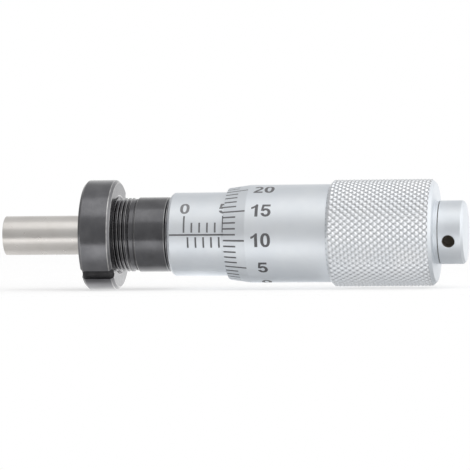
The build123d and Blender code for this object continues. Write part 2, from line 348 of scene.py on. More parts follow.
def makeSteel(name, v):
    # rings from the wheel or the tool, with fine specks over them where the steel is ground
    material, tree, shader = newFinish(name, {"Metallic": 1.0})
    position, rings = turningMarks(tree, v["ringScale"], v["wander"])
    cloud = noiseOf(tree, position, v["cloudScale"], 4.0)
    feed(tree, shader, {
        "Base Color": mixColours(tree, cloud, v["warm"], v["bright"]),
        "Roughness": noiseOf(tree, position, v["roughScale"], 3.0, *v["rough"]),
    })
    layers = [(rings, v["ringBump"])]
    if "speckScale" in v:
        layers.append((noiseOf(tree, position, v["speckScale"], 2.0), v["speckBump"]))
    setBumps(tree, shader, *layers)
    return material


oxide = dict(
    dark=(0.115, 0.115, 0.122, 1), pale=(0.160, 0.160, 0.168, 1), cloudScale=500.0, rough=(0.17, 0.24),
    roughScale=1500.0, bareSteel=(0.66, 0.65, 0.64, 1), patch=(0.28, 0.68), patchScale=1300.0, oil=0.12,
    oilRoughness=0.18, ringScale=11000.0, wander=0.00003, ringBump=(0.003, 0.6), gritScale=12000.0,
    gritBump=(0.0015, 0.5),
)
nutOxide = dict(oxide, dark=(0.138, 0.138, 0.147, 1), pale=(0.192, 0.192, 0.202, 1))


def makeBlackOxide(name, v):
    # an oiled black skin, and bare steel that shows in patches where the wear attribute is above 0: wear with a
    # painted highlight on edges, chamfers and thread crests, and painted light in the clamp nut's slots
    sockets = {"Metallic": 1.0, "Coat Weight": v["oil"], "Coat Roughness": v["oilRoughness"]}
    material, tree, shader = newFinish(name, sockets)
    position, rings = turningMarks(tree, v["ringScale"], v["wander"])
    skin = mixColours(tree, noiseOf(tree, position, v["cloudScale"], 5.0), v["dark"], v["pale"])
    patchy = noiseOf(tree, position, v["patchScale"], 4.0, *v["patch"])
    wearAndHighlight = mathOf(tree, "MULTIPLY", attributeOf(tree, "wearAndHighlight"), patchy, clamp=True)
    feed(tree, shader, {
        "Base Color": mixColours(tree, wearAndHighlight, skin, v["bareSteel"]),
        "Roughness": noiseOf(tree, position, v["roughScale"], 4.0, *v["rough"]),
    })
    setBumps(tree, shader, (rings, v["ringBump"]), (noiseOf(tree, position, v["gritScale"]), v["gritBump"]))
    return material


thimblePaint = dict(
    deep=(0.130, 0.130, 0.138, 1), dusty=(0.180, 0.180, 0.188, 1), cloudScale=3000.0,
    rough=(0.40, 0.52), roughScale=5000.0, gloss=1.5,
)
# the sleeve's ink is a paler copy of the thimble's: painted light on figures that face the lamp
sleevePaint = dict(thimblePaint, deep=(0.235, 0.235, 0.245, 1), dusty=(0.290, 0.290, 0.300, 1))


def makeScaleInk(name, v):
    material, tree, shader = newFinish(name, {"Metallic": 0.0, "IOR": v["gloss"]})
    position = addNode(tree, "TexCoord").outputs["Object"]
    feed(tree, shader, {
        "Base Color": mixColours(tree, noiseOf(tree, position, v["cloudScale"]), v["deep"], v["dusty"]),
        "Roughness": noiseOf(tree, position, v["roughScale"], 2.0, *v["rough"]),
    })
    return material


scaleChrome = makeSatinChrome("satinChromeScaled", satin, "ink")
capChrome = makeSatinChrome("satinChromeCap", satin, "recessShade")
gripChrome = makeSatinChrome("satinChromeGrip", grip, "recessShade")
groundSteel = makeSteel("groundSteel", steel)
blackOxide = makeBlackOxide("blackOxide", oxide)
blackOxideNut = makeBlackOxide("blackOxideNut", nutOxide)
plainSteel = makeSteel("plainSteel", turnedSteel)
thimbleInk = makeScaleInk("scaleInkThimble", thimblePaint)
sleeveInk = makeScaleInk("scaleInkSleeve", sleevePaint)
print("finishes made")

# Shapes that the pieces share. An outline is a table of (x, r, wear with painted highlight), and a surface is
# (points, faces, weights)


def aroundAxis(x, r, theta):
    # point = (x, -r cos theta, -r sin theta): theta starts at the front, -Y, and turns down towards -Z
    x, r, theta = np.broadcast_arrays(x, r, theta)
    return np.stack((x, -r * np.cos(theta), -r * np.sin(theta)), axis=-1)


def onceRound(columns):
    # equal steps of theta, one for each column
    return (np.arange(columns) * 2 * np.pi / columns)[None, :]


def gridFaces(rows, columns, closedRows=True, closedColumns=True):
    # quad (i, j) has the corners (i, j), (i, j+1), (i+1, j+1), (i+1, j), and a closed direction wraps round
    i = np.arange(rows if closedRows else rows - 1)[:, None]
    j = np.arange(columns if closedColumns else columns - 1)[None, :]
    nextRow, nextJ = (i + 1) % rows * columns, (j + 1) % columns
    corners = np.broadcast_arrays(i * columns + j, i * columns + nextJ, nextRow + nextJ, nextRow + j)
    return np.stack(corners, axis=-1).reshape(-1, 4)


def roundedOutline(corners, radius, steps=4, support=0.02, share=0.3, closed=True):
    # each corner becomes the curve (1-t)^2 a + 2 t (1-t) corner + t^2 b between a and b, one radius away on
    # either side but within a share of the side, with a support point just outside. Wear, with a painted
    # highlight, is 1 on the curves
    corners = np.array(corners, float)
    before, after = np.roll(corners, 1, axis=0) - corners, np.roll(corners, -1, axis=0) - corners
    lengthBefore, lengthAfter = np.linalg.norm(before, axis=1), np.linalg.norm(after, axis=1)
    reach = np.minimum(radius, share * np.minimum(lengthBefore, lengthAfter))[:, None]
    before, after = before / lengthBefore[:, None], after / lengthAfter[:, None]
    a, b = corners + before * reach, corners + after * reach
    t = np.linspace(0, 1, steps + 1)[None, :, None]
    curve = (1 - t) ** 2 * a[:, None] + 2 * t * (1 - t) * corners[:, None] + t ** 2 * b[:, None]
    extra = np.minimum(support, share * reach)
    outline = np.concatenate(((a + before * extra)[:, None], curve, (b + after * extra)[:, None]), axis=1)
    wearAndHighlight = np.ones(outline.shape[:2])
    wearAndHighlight[:, [0, -1]] = 0
    if not closed:
        outline, wearAndHighlight = outline[1:-1], wearAndHighlight[1:-1]
    table = np.concatenate((outline, wearAndHighlight[..., None]), axis=-1).reshape(-1, 3)
    if not closed:
        first, last = np.append(corners[0], 0), np.append(corners[-1], 0)
        table = np.vstack((first, table, last))
    return table


def plainRows(x, r):
    # an outline of the points (x, r) with no wear and no painted highlight
    x, r = np.broadcast_arrays(x, r)
    return np.stack((x, r, np.zeros(len(x))), axis=-1)


def joinedSurfaces(surfaces):
    # the points of all surfaces in one list, with each one's face numbers moved on by the points before it
    counts = np.cumsum([0] + [s[0].reshape(-1, 3).shape[0] for s in surfaces])
    points = np.concatenate([s[0].reshape(-1, 3) for s in surfaces])
    faces = []
    for surface, start in zip(surfaces, counts.tolist()):
        faces += [[n + start for n in face] for face in surface[1]]
    weights = np.concatenate([s[2].ravel() for s in surfaces])
    return points, faces, weights


def makePiece(name, surfaces, finish, body, weightName="wearAndHighlight", sharpAngle=38.0, recalculate=False):
    points, faces, weights = joinedSurfaces(surfaces)
    mesh = bpy.data.meshes.new(name)
    mesh.from_pydata((points * mm).tolist(), [], faces)
    mesh.attributes.new(weightName, "FLOAT", "POINT").data.foreach_set("value", weights.astype(np.float32))
    work = bmesh.new()
    work.from_mesh(mesh)
    bmesh.ops.remove_doubles(work, verts=work.verts, dist=weldWithin * mm)
    if recalculate:
        bmesh.ops.recalc_face_normals(work, faces=work.faces)
    work.to_mesh(mesh)
    work.free()
    mesh.shade_smooth()
    mesh.set_sharp_from_angle(angle=radians(sharpAngle))
    mesh.materials.append(finish)
    piece = newObject(name, mesh)
    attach(piece, body)
    print(f"{name}: {len(mesh.vertices)} points, {len(mesh.polygons)} faces")
    return piece


# Stem

stem = dict(
    front=-11.2, frontEdge=0.25, guideRadius=2.515, guideRear=4.5, runOutRadius=3.1, columns=240, rounding=0.03,
    threadRadius=4.70, threadRear=-5.05, pitch=0.5, threadDepth=0.27, crestFlat=0.14, rootFlat=0.2,
    flankCurve=0.35, fade=0.30, fadeGap=0.08, threadStart=0.021, threadEnd=0.09, shoulder=0.06, crestWearAndHighlight=0.62,
    crestBand=0.03,
    threadRows=(0, 0.035, 0.07, 0.11, 0.2, 0.3, 0.36, 0.4, 0.5, 0.6, 0.64, 0.7, 0.8, 0.89, 0.93, 0.965),
    neckRadius=4.57, neckRear=-4.55, grooveRadius=4.45, seatFront=-4.4, seatEdge=0.1, neckOverlap=0.02,
    seatRadius=4.75, seatRear=-0.5, undercut=-0.3, carrierRadius=4.55, carrierRear=19.0, nutRadius=3.9,
    nutTaper=0.2, rear=22.7, rearBore=2.87, rearBoreFront=15.6,
    slitFront=17.1, slitWidth=0.5, slitCount=3, sectorOverlap=0.01, sectorColumns=49, sectorRounding=0.05,
)


def threadRadius(x, theta, v):
    # phase = x / pitch - theta / 2 pi; the height is 1 on the crest and falls to 0 in the root along flanks that
    # are slightly curved, and the whole groove fades out before the neck
    phase = (x / v["pitch"] - theta / (2 * np.pi)) % 1.0
    away = np.abs(phase - 0.5) * 2
    height = np.clip((away - v["rootFlat"]) / (1 - v["rootFlat"] - v["crestFlat"]), 0, 1)
    height = height * height * (3 - 2 * height) * v["flankCurve"] + height * (1 - v["flankCurve"])
    fade = np.clip((v["threadRear"] - v["fadeGap"] - x) / v["fade"], 0, 1)
    return v["threadRadius"] - v["threadDepth"] * (1 - height) * fade


def cutThread(x, theta, v):
    # the cone of the front chamfer cuts the thread, and wear with a painted highlight lies on what is left of
    # the crests
    cone = v["threadRadius"] - v["frontEdge"] + (x - v["front"])
    r = np.minimum(cone, threadRadius(x, theta, v))
    return r, np.clip((r - v["threadRadius"] + v["crestBand"]) / v["crestBand"], 0, 1) * v["crestWearAndHighlight"]


def stemThread(v):
    # rows follow the helix: x = base + pitch (turn + share + theta / 2 pi), held between the two ends, so that
    # crests and roots keep rows of their own. Once round, a row meets the one a whole turn further on
    low, high = v["front"] + v["threadStart"], v["threadRear"] - v["threadEnd"]
    base = np.floor(low / v["pitch"]) * v["pitch"]
    turns = np.arange(-1, int(np.ceil((high - base) / v["pitch"])) + 1)
    share = (turns[:, None] + np.array(v["threadRows"])[None, :]).reshape(-1, 1)
    theta = onceRound(v["columns"])
    x = np.clip(base + v["pitch"] * (share + theta / (2 * np.pi)), low, high)
    r, wearAndHighlight = cutThread(x, theta, v)
    rows, columns, step = len(share), v["columns"], len(v["threadRows"])
    i = np.arange(rows - 1)
    ahead, aheadNext = np.minimum(i + step, rows - 1), np.minimum(i + 1 + step, rows - 1)
    last = i * columns + columns - 1
    seam = np.stack((last, ahead * columns, aheadNext * columns, last + columns), axis=-1)
    return aroundAxis(x, r, theta), np.concatenate((gridFaces(rows, columns, False, False), seam)), wearAndHighlight


def stemBody(v):
    # one outline from the end of the thread back over the seat, through the bore and round the front chamfer.
    # Its first and last rows lie on the thread's own ends
    front, edge, rear, thread, guide = pick(v, "front frontEdge threadRear threadRadius guideRadius")
    seat, seatEdge, groove, carrier = pick(v, "seatFront seatEdge grooveRadius carrierRadius")
    tail = roundedOutline((
        (rear - v["shoulder"], thread), (rear, v["neckRadius"]), (v["neckRear"], v["neckRadius"]),
        (v["neckRear"], groove), (seat, groove), (seat, v["seatRadius"] - seatEdge),
        (seat + seatEdge, v["seatRadius"]), (v["seatRear"], v["seatRadius"]), (v["undercut"], carrier),
        (v["slitFront"], carrier), (v["slitFront"], v["rearBore"]), (v["rearBoreFront"], v["rearBore"]),
        (v["rearBoreFront"], v["runOutRadius"]), (v["guideRear"], v["runOutRadius"]),
        (v["guideRear"], guide), (front + edge, guide),
    ), v["rounding"], closed=False)[1:-1]
    head = roundedOutline((
        (front + edge, guide), (front, guide + edge), (front, thread - edge), (front + edge, thread),
    ), v["rounding"], closed=False)[:-2]
    low, high = front + v["threadStart"], rear - v["threadEnd"]
    rows = np.concatenate(([[high, 0, 0]], tail, head, [[low, 0, 0]]))
    theta = onceRound(v["columns"])
    x, r, wearAndHighlight = (np.repeat(column, v["columns"], axis=1) for column in np.hsplit(rows, 3))
    inNeck = (x > rear - v["fadeGap"]) & (x < seat + v["neckOverlap"])
    wearAndHighlight = np.where(inNeck, 0, wearAndHighlight)
    for end in (0, -1):
        r[end], wearAndHighlight[end] = cutThread(x[end], theta[0], v)
    return aroundAxis(x, r, theta), gridFaces(len(rows), v["columns"], False, True), wearAndHighlight


def stemSector(v, number):
    # the slit rear: the outline is swept between two slits, whose walls stay parallel because
    # sin(edge) = half width / r
    front = v["slitFront"] - v["sectorOverlap"]
    outline = roundedOutline((
        (front, v["rearBore"]), (front, v["carrierRadius"]), (v["carrierRear"], v["carrierRadius"]),
        (v["carrierRear"], v["nutRadius"]), (v["rear"], v["nutRadius"] - v["nutTaper"]),
        (v["rear"], v["rearBore"]),
    ), v["sectorRounding"])
    x, r, wearAndHighlight = np.hsplit(outline, 3)
    pitchAngle = 2 * np.pi / v["slitCount"]
    edge = np.arcsin(v["slitWidth"] / 2 / r)
    across = np.linspace(0, 1, v["sectorColumns"])[None, :]
    points = aroundAxis(x, r, number * pitchAngle + edge + (pitchAngle - 2 * edge) * across)
    rows, columns = points.shape[:2]
    firstWall = [i * columns for i in range(rows)]
    lastWall = [i * columns + columns - 1 for i in range(rows)][::-1]
    faces = gridFaces(rows, columns, True, False).tolist() + [firstWall, lastWall]
    return points, faces, np.repeat(wearAndHighlight, columns, axis=1)


stemParts = [stemBody(stem), stemThread(stem)]
stemParts += [stemSector(stem, number) for number in range(stem["slitCount"])]
stemPiece = makePiece("stemTurned", stemParts, blackOxide, "stem_body")
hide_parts("stem")
print("stem done")

# Graduated sleeve

sleeve = dict(
    radius=5.30, boreRadius=4.55, reliefRadius=4.78, reliefDepth=0.3, faceWidth=0.28, chamferLength=0.30,
    rear=19.0, rearEdge=0.1, zeroMark=2.22, lastMark=13, longStep=5, endOfDatum=16.22, gap=0.3, markLength=1.25,
    longLength=2.15, halfLength=1.35, lineWidth=0.2, lineDepth=0.06, softness=0.012, edgeStep=0.03,
    afterMarks=0.4, nearEnds=0.05, plainRows=12, plainColumns=192, rounding=0.03,
)


def bandWeight(value, low, high, softness):
    # 1 between low and high, falling to 0 within the softness outside them
    return np.clip((value - low) / softness + 1, 0, 1) * np.clip((high - value) / softness + 1, 0, 1)


def sleeveMarks(v):
    # one row per groove: (low x, high x, low s, high s), with s the arc from the datum line, downwards.
    # Whole millimetres stand above the datum line and halves below it, each one gap away
    half, gap = v["lineWidth"] / 2, v["gap"]
    whole = np.arange(v["lastMark"] + 1)
    length = np.where(whole % v["longStep"] == 0, v["longLength"], v["markLength"])
    wholeX, halvesX = v["zeroMark"] + whole, v["zeroMark"] + (np.arange(v["lastMark"]) + 0.5)
    above = (wholeX - half, wholeX + half, -gap - length, np.full(len(whole), -gap))
    below = (halvesX - half, halvesX + half, 0 * halvesX + gap, 0 * halvesX + (gap + v["halfLength"]))
    datum = [(v["chamferLength"], v["endOfDatum"], -half, half)]
    return np.concatenate((np.stack(above, axis=-1), np.stack(below, axis=-1), datum))


def scaleSurface(v):
    # radius = sleeve radius - depth x groove, where groove is a flat-bottomed window across each mark.
    # The rows and columns of the grid are bunched at the edges of the marks
    marks = sleeveMarks(v)
    radius, bore, soft, step = pick(v, "radius boreRadius softness edgeStep")
    chamfer, depth, rearEnd, edge = pick(v, "chamferLength reliefDepth rear rearEdge")
    low, high = marks[:, [0, 2]], marks[:, [1, 3]]
    edges = np.round(np.concatenate((low - soft, low, low + step, high - step, high, high + soft)), 4)
    firstX, lastX = chamfer + v["nearEnds"], rearEnd - edge - v["nearEnds"]
    plainX = np.linspace(v["endOfDatum"] + v["afterMarks"], lastX, v["plainRows"])
    x = np.unique(np.concatenate((edges[edges[:, 0] > firstX + soft, 0], plainX, [firstX])))
    plainS = np.linspace(-np.pi, np.pi, v["plainColumns"] + 1)[:-1] * radius
    s = np.unique(np.concatenate((edges[:, 1], plainS)))
    front = roundedOutline((
        (depth, bore), (depth, v["reliefRadius"]), (0, v["reliefRadius"]),
        (0, v["reliefRadius"] + v["faceWidth"]), (chamfer, radius), (chamfer + 0.2, radius),
    ), v["rounding"], closed=False)[:-1]
    rear = roundedOutline((
        (rearEnd - 0.4, radius), (rearEnd - edge, radius), (rearEnd, radius - edge),
        (rearEnd, bore), (depth, bore),
    ), v["rounding"], closed=False)[1:-1]
    rows = np.concatenate((front, plainRows(x, radius), rear))
    outer = np.zeros(len(rows), bool)
    outer[len(front):len(front) + len(x)] = True
    acrossX = bandWeight(rows[:, 0][:, None, None], marks[:, 0], marks[:, 1], soft)
    acrossS = bandWeight(s[None, :, None], marks[:, 2], marks[:, 3], soft)
    ink = np.where(outer[:, None], (acrossX * acrossS).max(axis=-1), 0)
    r = rows[:, 1:2] - v["lineDepth"] * ink
    return aroundAxis(rows[:, :1], r, (s / radius)[None, :]), gridFaces(len(rows), len(s)), ink


sleeveParts = [scaleSurface(sleeve)]
sleevePiece = makePiece("sleeveGraduated", sleeveParts, scaleChrome, "stem_body", "ink")
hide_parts("graduated_sleeve")
print("sleeve done")

# Numerals

figure = dict(stroke=0.215, bar=0.165, advance=0.77, lift=0.006, sink=0.02, cutStep=0.12, weld=1e-5)


def arc(x, y, width, height, start, stop, steps=24):
    # point = (x + width cos t, y + height sin t), with t from start to stop in degrees
    t = np.radians(np.linspace(start, stop, steps + 1))
    return np.stack((x + width * np.cos(t), y + height * np.sin(t)), axis=-1)


def oval(x, y, width, height, fullness=2.35, steps=48):
    # a fuller ellipse: point = centre + size x sign(c) |c|^(2 / fullness), with c = cos t and sin t
    t = np.linspace(0, 2 * np.pi, steps + 1)[:-1]
    c = np.stack((np.cos(t), np.sin(t)), axis=-1)
    return np.array((x, y)) + np.array((width, height)) * np.sign(c) * np.abs(c) ** (2 / fullness)


def figureOutlines(v):
    # plain upright figures, one unit high: each is a list of closed outlines, the second a hole.
    # A bowl is an outer arc and an inner one, narrower by the stroke and lower by the bar
    s, b = v["stroke"], v["bar"]
    zero = [oval(0.375, 0.5, 0.35, 0.51), oval(0.375, 0.5, 0.35 - s, 0.51 - b)]
    one = [np.array((
        (0.57 - s, 0), (0.57, 0), (0.57, 1), (0.43, 1), (0.38, 0.93), (0.29, 0.855), (0.20, 0.80),
        (0.09, 0.765), (0.09, 0.60), (0.20, 0.635), (0.29, 0.68), (0.57 - s, 0.745),
    ))]
    two = [np.concatenate((
        ((0.035, 0), (0.69, 0), (0.69, b), (0.285, b), (0.33, 0.205)),
        ((0.43, 0.30), (0.55, 0.415), (0.635, 0.53), (0.672, 0.63)),
        arc(0.375, 0.715, 0.305, 0.297, 0, 172), arc(0.375, 0.715, 0.305 - s, 0.297 - b, 168, 0),
        ((0.495, 0.63), (0.44, 0.54), (0.33, 0.435), (0.21, 0.33), (0.11, 0.205), (0.055, 0.105)),
    ))]
    three = [np.concatenate((
        arc(0.365, 0.745, 0.28, 0.267, 165, -42), arc(0.365, 0.295, 0.32, 0.307, 48, -168),
        arc(0.365, 0.295, 0.32 - s, 0.307 - b, -165, 78), ((0.28, 0.467), (0.28, 0.610)),
        arc(0.365, 0.745, 0.28 - s, 0.267 - b, -78, 160),
    ))]
    foot, post, top = 0.215, 0.54, 0.215 + b
    four = [
        np.array((
            (post - s, 0), (post, 0), (post, foot), (0.665, foot), (0.665, top), (post, top),
            (post, 1), (0.39, 1), (0.02, 0.37), (0.02, foot), (post - s, foot),
        )),
        np.array(((post - s, top), (post - s, 0.71), (0.165, top))),
    ]
    five = [np.concatenate((
        ((0.11, 0.985), (0.695, 0.985), (0.695, 0.985 - b), (0.265, 0.985 - b)),
        arc(0.37, 0.325, 0.36, 0.337, 118, -170), arc(0.37, 0.325, 0.36 - s, 0.337 - b, -166, 148),
        ((0.205, 0.435), (0.03, 0.455)),
    ))]
    return dict(zip("012345", (zero, one, two, three, four, five)))


outlines = figureOutlines(figure)
# rise is how high a figure's foot stands: above the datum line, or so that it is centred on its own line
sleeveNumeral = dict(figure, height=1.56, stretch=1.10, rise=2.80)
thimbleNumeral = dict(figure, height=1.74, stretch=1.02, rise=-0.81, centreX=12.17)


def flatFigures(name, text, v):
    # the outlines stand side by side, one advance apart, and Blender fills them as one flat curve
    curve = bpy.data.curves.new(name, "CURVE")
    curve.dimensions, curve.fill_mode = "2D", "FRONT"
    for place, character in enumerate(text):
        for outline in outlines[character]:
            line = (outline + np.array((place * v["advance"], 0))) * v["height"] * np.array((v["stretch"], 1))
            points = np.column_stack((line, np.zeros(len(line)), np.ones(len(line))))
            spline = curve.splines.new("POLY")
            spline.points.add(len(line) - 1)
            spline.points.foreach_set("co", points.ravel())
            spline.use_cyclic_u = True
    flat = newObject(name + "Flat", curve)
    mesh = bpy.data.meshes.new_from_object(flat.evaluated_get(bpy.context.evaluated_depsgraph_get()))
    bpy.data.objects.remove(flat)
    bpy.data.curves.remove(curve)
    return mesh


def makeNumeral(name, text, v, centreX, radius, angle, body, paint):
    # the flat figures (u, w) are laid on the surface: x = centre + u and theta = angle - (w + rise) / radius,
    # with one side sunk into it and the other just above it
    mesh = flatFigures(name, text, v)
    work = bmesh.new()
    work.from_mesh(mesh)
    bmesh.ops.remove_doubles(work, verts=work.verts, dist=v["weld"])
    for cut in np.arange(v["cutStep"], v["height"], v["cutStep"]):
        everything = work.verts[:] + work.edges[:] + work.faces[:]
        bmesh.ops.bisect_plane(work, geom=everything, plane_co=(0, cut, 0), plane_no=(0, 1, 0))
    bmesh.ops.triangulate(work, faces=work.faces)
    copied = bmesh.ops.extrude_face_region(work, geom=work.faces[:])["geom"]
    raised = [part for part in copied if isinstance(part, bmesh.types.BMVert)]
    bmesh.ops.translate(work, verts=raised, vec=(0, 0, 1))
    bmesh.ops.recalc_face_normals(work, faces=work.faces)
    work.to_mesh(mesh)
    work.free()
    flatPoints = np.zeros(len(mesh.vertices) * 3)
    mesh.vertices.foreach_get("co", flatPoints)
    u, w, level = flatPoints.reshape(-1, 3).T
    u = u - (u.min() + u.max()) / 2
    r = radius + np.where(level > 0.5, v["lift"], -v["sink"])
    points = aroundAxis(centreX + u, r, angle - (w + v["rise"]) / radius)
    mesh.vertices.foreach_set("co", (points * mm).ravel())
    mesh.update()
    mesh.materials.append(paint)
    piece = newObject(name, mesh)
    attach(piece, body)


for number in range(0, sleeve["lastMark"] + 1, sleeve["longStep"]):
    name, markX = f"sleeveNumeral{number}", sleeve["zeroMark"] + number
    makeNumeral(name, str(number), sleeveNumeral, markX, sleeve["radius"], 0.0, "stem_body", sleeveInk)
print("sleeve numerals done")

# Clamp nut

clampNut = dict(
    front=-11.15, rear=-7.05, boreRadius=4.73, radius=7.0, chamfer=0.35, countersink=0.3, rounding=0.06,
    roundSteps=5, slotAngle=46.0, slotCount=2, slotWidth=1.5, slotFloor=6.1, slotColumns=7, columns=300,
    slotPaintedLight=0.40, chamferWearAndHighlight=0.12, frontWearAndHighlight=0.25, frontBand=0.1,
)


def nutSurface(v):
    # the outline is carried round, and across each slot the radius is held to its floor: a point at
    # lateral l lies at r = sqrt(floor^2 + l^2) and theta = slot + atan(l / floor). The walls stay parallel
    front, rear, radius, bore, chamfer, sink = pick(v, "front rear radius boreRadius chamfer countersink")
    near = 0.01
    outline = roundedOutline((
        (front, bore + sink), (front, radius - chamfer), (front + chamfer, radius), (rear - chamfer, radius),
        (rear, radius - chamfer), (rear, bore + sink), (rear - sink, bore), (front + sink, bore),
    ), v["rounding"], steps=v["roundSteps"])
    x, r0, wearAndHighlight = np.hsplit(outline, 3)
    onRearChamfer = (x > rear - chamfer - near) & (r0 > radius - chamfer - near)
    # the rear chamfer gets wear with a painted highlight, and the front edge keeps only a share of it
    wearAndHighlight = np.where(onRearChamfer, np.maximum(wearAndHighlight, v["chamferWearAndHighlight"]), wearAndHighlight)
    wearAndHighlight = np.where(x < front + chamfer + v["frontBand"], wearAndHighlight * v["frontWearAndHighlight"], wearAndHighlight)
    half = v["slotWidth"] / 2
    wallLow = np.hypot(v["slotFloor"], half)
    lateral = np.linspace(-half, half, v["slotColumns"])[None, :]
    wallAngle = np.arcsin(half / np.maximum(r0, wallLow))
    span = 2 * np.pi / v["slotCount"]
    between = np.linspace(0, 1, v["columns"] // v["slotCount"])[None, :]
    parts = []
    for slot in radians(v["slotAngle"]) + np.arange(v["slotCount"]) * span:
        floorR = np.minimum(r0, np.hypot(v["slotFloor"], lateral))
        # rows that reach the slot floor get painted light instead of wear, a lighter floor where shade falls
        floorWearAndLight = np.where(r0 < wallLow, wearAndHighlight, v["slotPaintedLight"])
        parts.append(np.broadcast_arrays(slot + np.arctan(lateral / v["slotFloor"]), floorR, floorWearAndLight))
        parts.append(np.broadcast_arrays(slot + wallAngle + (span - 2 * wallAngle) * between, r0, wearAndHighlight))
    theta, r, wearAndHighlight = (np.concatenate([part[k] for part in parts], axis=1) for k in range(3))
    return aroundAxis(x, r, theta), gridFaces(len(outline), theta.shape[1]), wearAndHighlight


nutPiece = makePiece("clampNutRing", [nutSurface(clampNut)], blackOxideNut, "clamp_nut_body")
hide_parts("clamp_nut")
print("clamp nut done")

# Spindle

spindle = dict(
    face=-21.9, radius=2.5, faceEdge=0.05, threadFront=10.0, threadRadius=2.85, threadEdge=0.2, threadRear=29.95,
    taperFront=30.75, taperRadius=2.8, taperRear=33.85, taperSlope=0.1, studRadius=1.45, studRear=36.35,
    studEdge=0.2, columns=192, rounding=0.06, roundSteps=5,
)


def spindleSurface(v):
    # one outline from the measuring face to the stud's end, on the axis at both ends, carried round the axis
    face, edge, radius, thread, stud = pick(v, "face faceEdge radius threadRadius studRadius")
    taper, taperRear, rear, studEdge = pick(v, "taperFront taperRear studRear studEdge")
    outline = roundedOutline((
        (face, 0), (face, radius - edge), (face + edge, radius), (v["threadFront"], radius),
        (v["threadFront"] + v["threadEdge"], thread), (v["threadRear"] - v["threadEdge"], thread),
        (v["threadRear"], radius), (taper, radius), (taper, v["taperRadius"]),
        (taperRear, v["taperRadius"] - (taperRear - taper) * v["taperSlope"]), (taperRear, stud),
        (rear - studEdge, stud), (rear, stud - studEdge), (rear, 0),
    ), v["rounding"], steps=v["roundSteps"], closed=False)
    x, r, wearAndHighlight = np.hsplit(outline, 3)
    faces = gridFaces(len(outline), v["columns"], False, True)
    return aroundAxis(x, r, onceRound(v["columns"])), faces, np.repeat(wearAndHighlight, v["columns"], axis=1)


spindlePiece = makePiece("spindleGround", [spindleSurface(spindle)], groundSteel, "spindle_body")
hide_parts("spindle")
print("spindle done")

# Thimble

thimble = dict(
    edge=7.33, edgeRadius=5.82, bevelLength=2.77, barrelRadius=6.2, boreRadius=5.42, mouthEdge=0.1,
    knurlRear=33.29, rearRadius=6.63, endFace=33.70, endChamfer=0.41, collarRadius=4.0, collarRear=34.15,
    boreEnd=31.15, taperAtBore=2.78, taperAtRear=2.48, zeroLine=79.2, divisions=50, longStep=5,
    lineWidth=0.2, lineDepth=0.06, softness=0.012, edgeStep=0.03, shortLine=1.6, longLine=2.77, bevelDull=0.03,
    bevelRows=12, spareColumns=3, frontRounding=0.02, rounding=0.05,
)


def thimbleSurface(v):
    # radius = bevel or barrel radius - depth x groove. Each of the lines has its own columns, at
    # the edges of the groove, where s is the arc from the line's own middle
    pitchAngle, zero = 2 * np.pi / v["divisions"], radians(v["zeroLine"])
    half = v["lineWidth"] / 2
    soft, step, shortLine, longLine, mouth = pick(v, "softness edgeStep shortLine longLine mouthEdge")
    edge, edgeRadius, barrel, bore = pick(v, "edge edgeRadius barrelRadius boreRadius")
    endFace, boreEnd = pick(v, "endFace boreEnd")
    arcs = np.array([-half - soft, -half, -half + step, half - step, half, half + soft])
    spare = np.linspace(half + soft, pitchAngle * barrel - half - soft, v["spareColumns"] + 2)[1:-1]
    local = np.concatenate((arcs, spare)) / barrel
    theta = (np.arange(v["divisions"])[:, None] * pitchAngle + local[None, :]).ravel() + zero % pitchAngle
    index = np.round((zero - theta) / pitchAngle)
    fromLine = np.abs(theta - zero + index * pitchAngle) * barrel
    length = np.where(index % v["longStep"] == 0, longLine, shortLine)
    front = roundedOutline((
        (edge + mouth, bore), (edge, bore + mouth),
        (edge, edgeRadius), (edge + 0.1, edgeRadius + 0.011),
    ), v["frontRounding"], closed=False)[1:-1]
    ends = [shortLine - soft, shortLine, longLine - 0.1, longLine - soft, longLine]
    bevelX = edge + np.unique(np.concatenate((np.linspace(0.05, longLine, v["bevelRows"]), ends)))
    rise = (barrel - edgeRadius) / v["bevelLength"]
    bevel = plainRows(bevelX, np.minimum(edgeRadius + (bevelX - edge) * rise, barrel))
    back = roundedOutline((
        (edge + v["bevelLength"] + 0.1, barrel), (v["knurlRear"], barrel), (v["knurlRear"], v["rearRadius"]),
        (endFace, v["rearRadius"] - v["endChamfer"]), (endFace, v["collarRadius"]),
        (v["collarRear"], v["collarRadius"]), (v["collarRear"], v["taperAtRear"]), (boreEnd, v["taperAtBore"]),
        (boreEnd, bore), (edge + mouth, bore),
    ), v["rounding"], closed=False)
    rows = np.concatenate((front, bevel, back))
    outer = np.zeros(len(rows), bool)
    outer[len(front):len(front) + len(bevel)] = True
    outer |= (np.abs(rows[:, 0] - edge) < step) & (rows[:, 1] > edgeRadius - step)
    # -9 and -1 are outside any groove: a line runs out through the thimble's edge, and fromLine is above 0
    along = bandWeight(rows[:, :1] - edge, -9, length[None, :] - soft, soft)
    ink = np.where(outer[:, None], along * bandWeight(fromLine[None, :], -1, half, soft), 0)
    r = rows[:, 1:2] - v["lineDepth"] * ink
    ink = np.where(outer[:, None], np.maximum(ink, v["bevelDull"]), ink)
    return aroundAxis(rows[:, :1], r, theta[None, :]), gridFaces(len(rows), len(theta)), ink


thimbleParts = [thimbleSurface(thimble)]
thimblePiece = makePiece("thimbleBody", thimbleParts, scaleChrome, "thimble_body", "ink")
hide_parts("thimble")
print("thimble done")

knurl = dict(
    front=20.3894, halfPitch=0.4778, rows=27, count=52, crestRadius=6.75, depth=0.24, barrelRadius=6.2,
    step=0.04, flat=0.14, round=0.10, soften=0.25, fine=5, inner=5.96, recessShade=0.60, pit=0.90, sharpAngle=80.0,
)


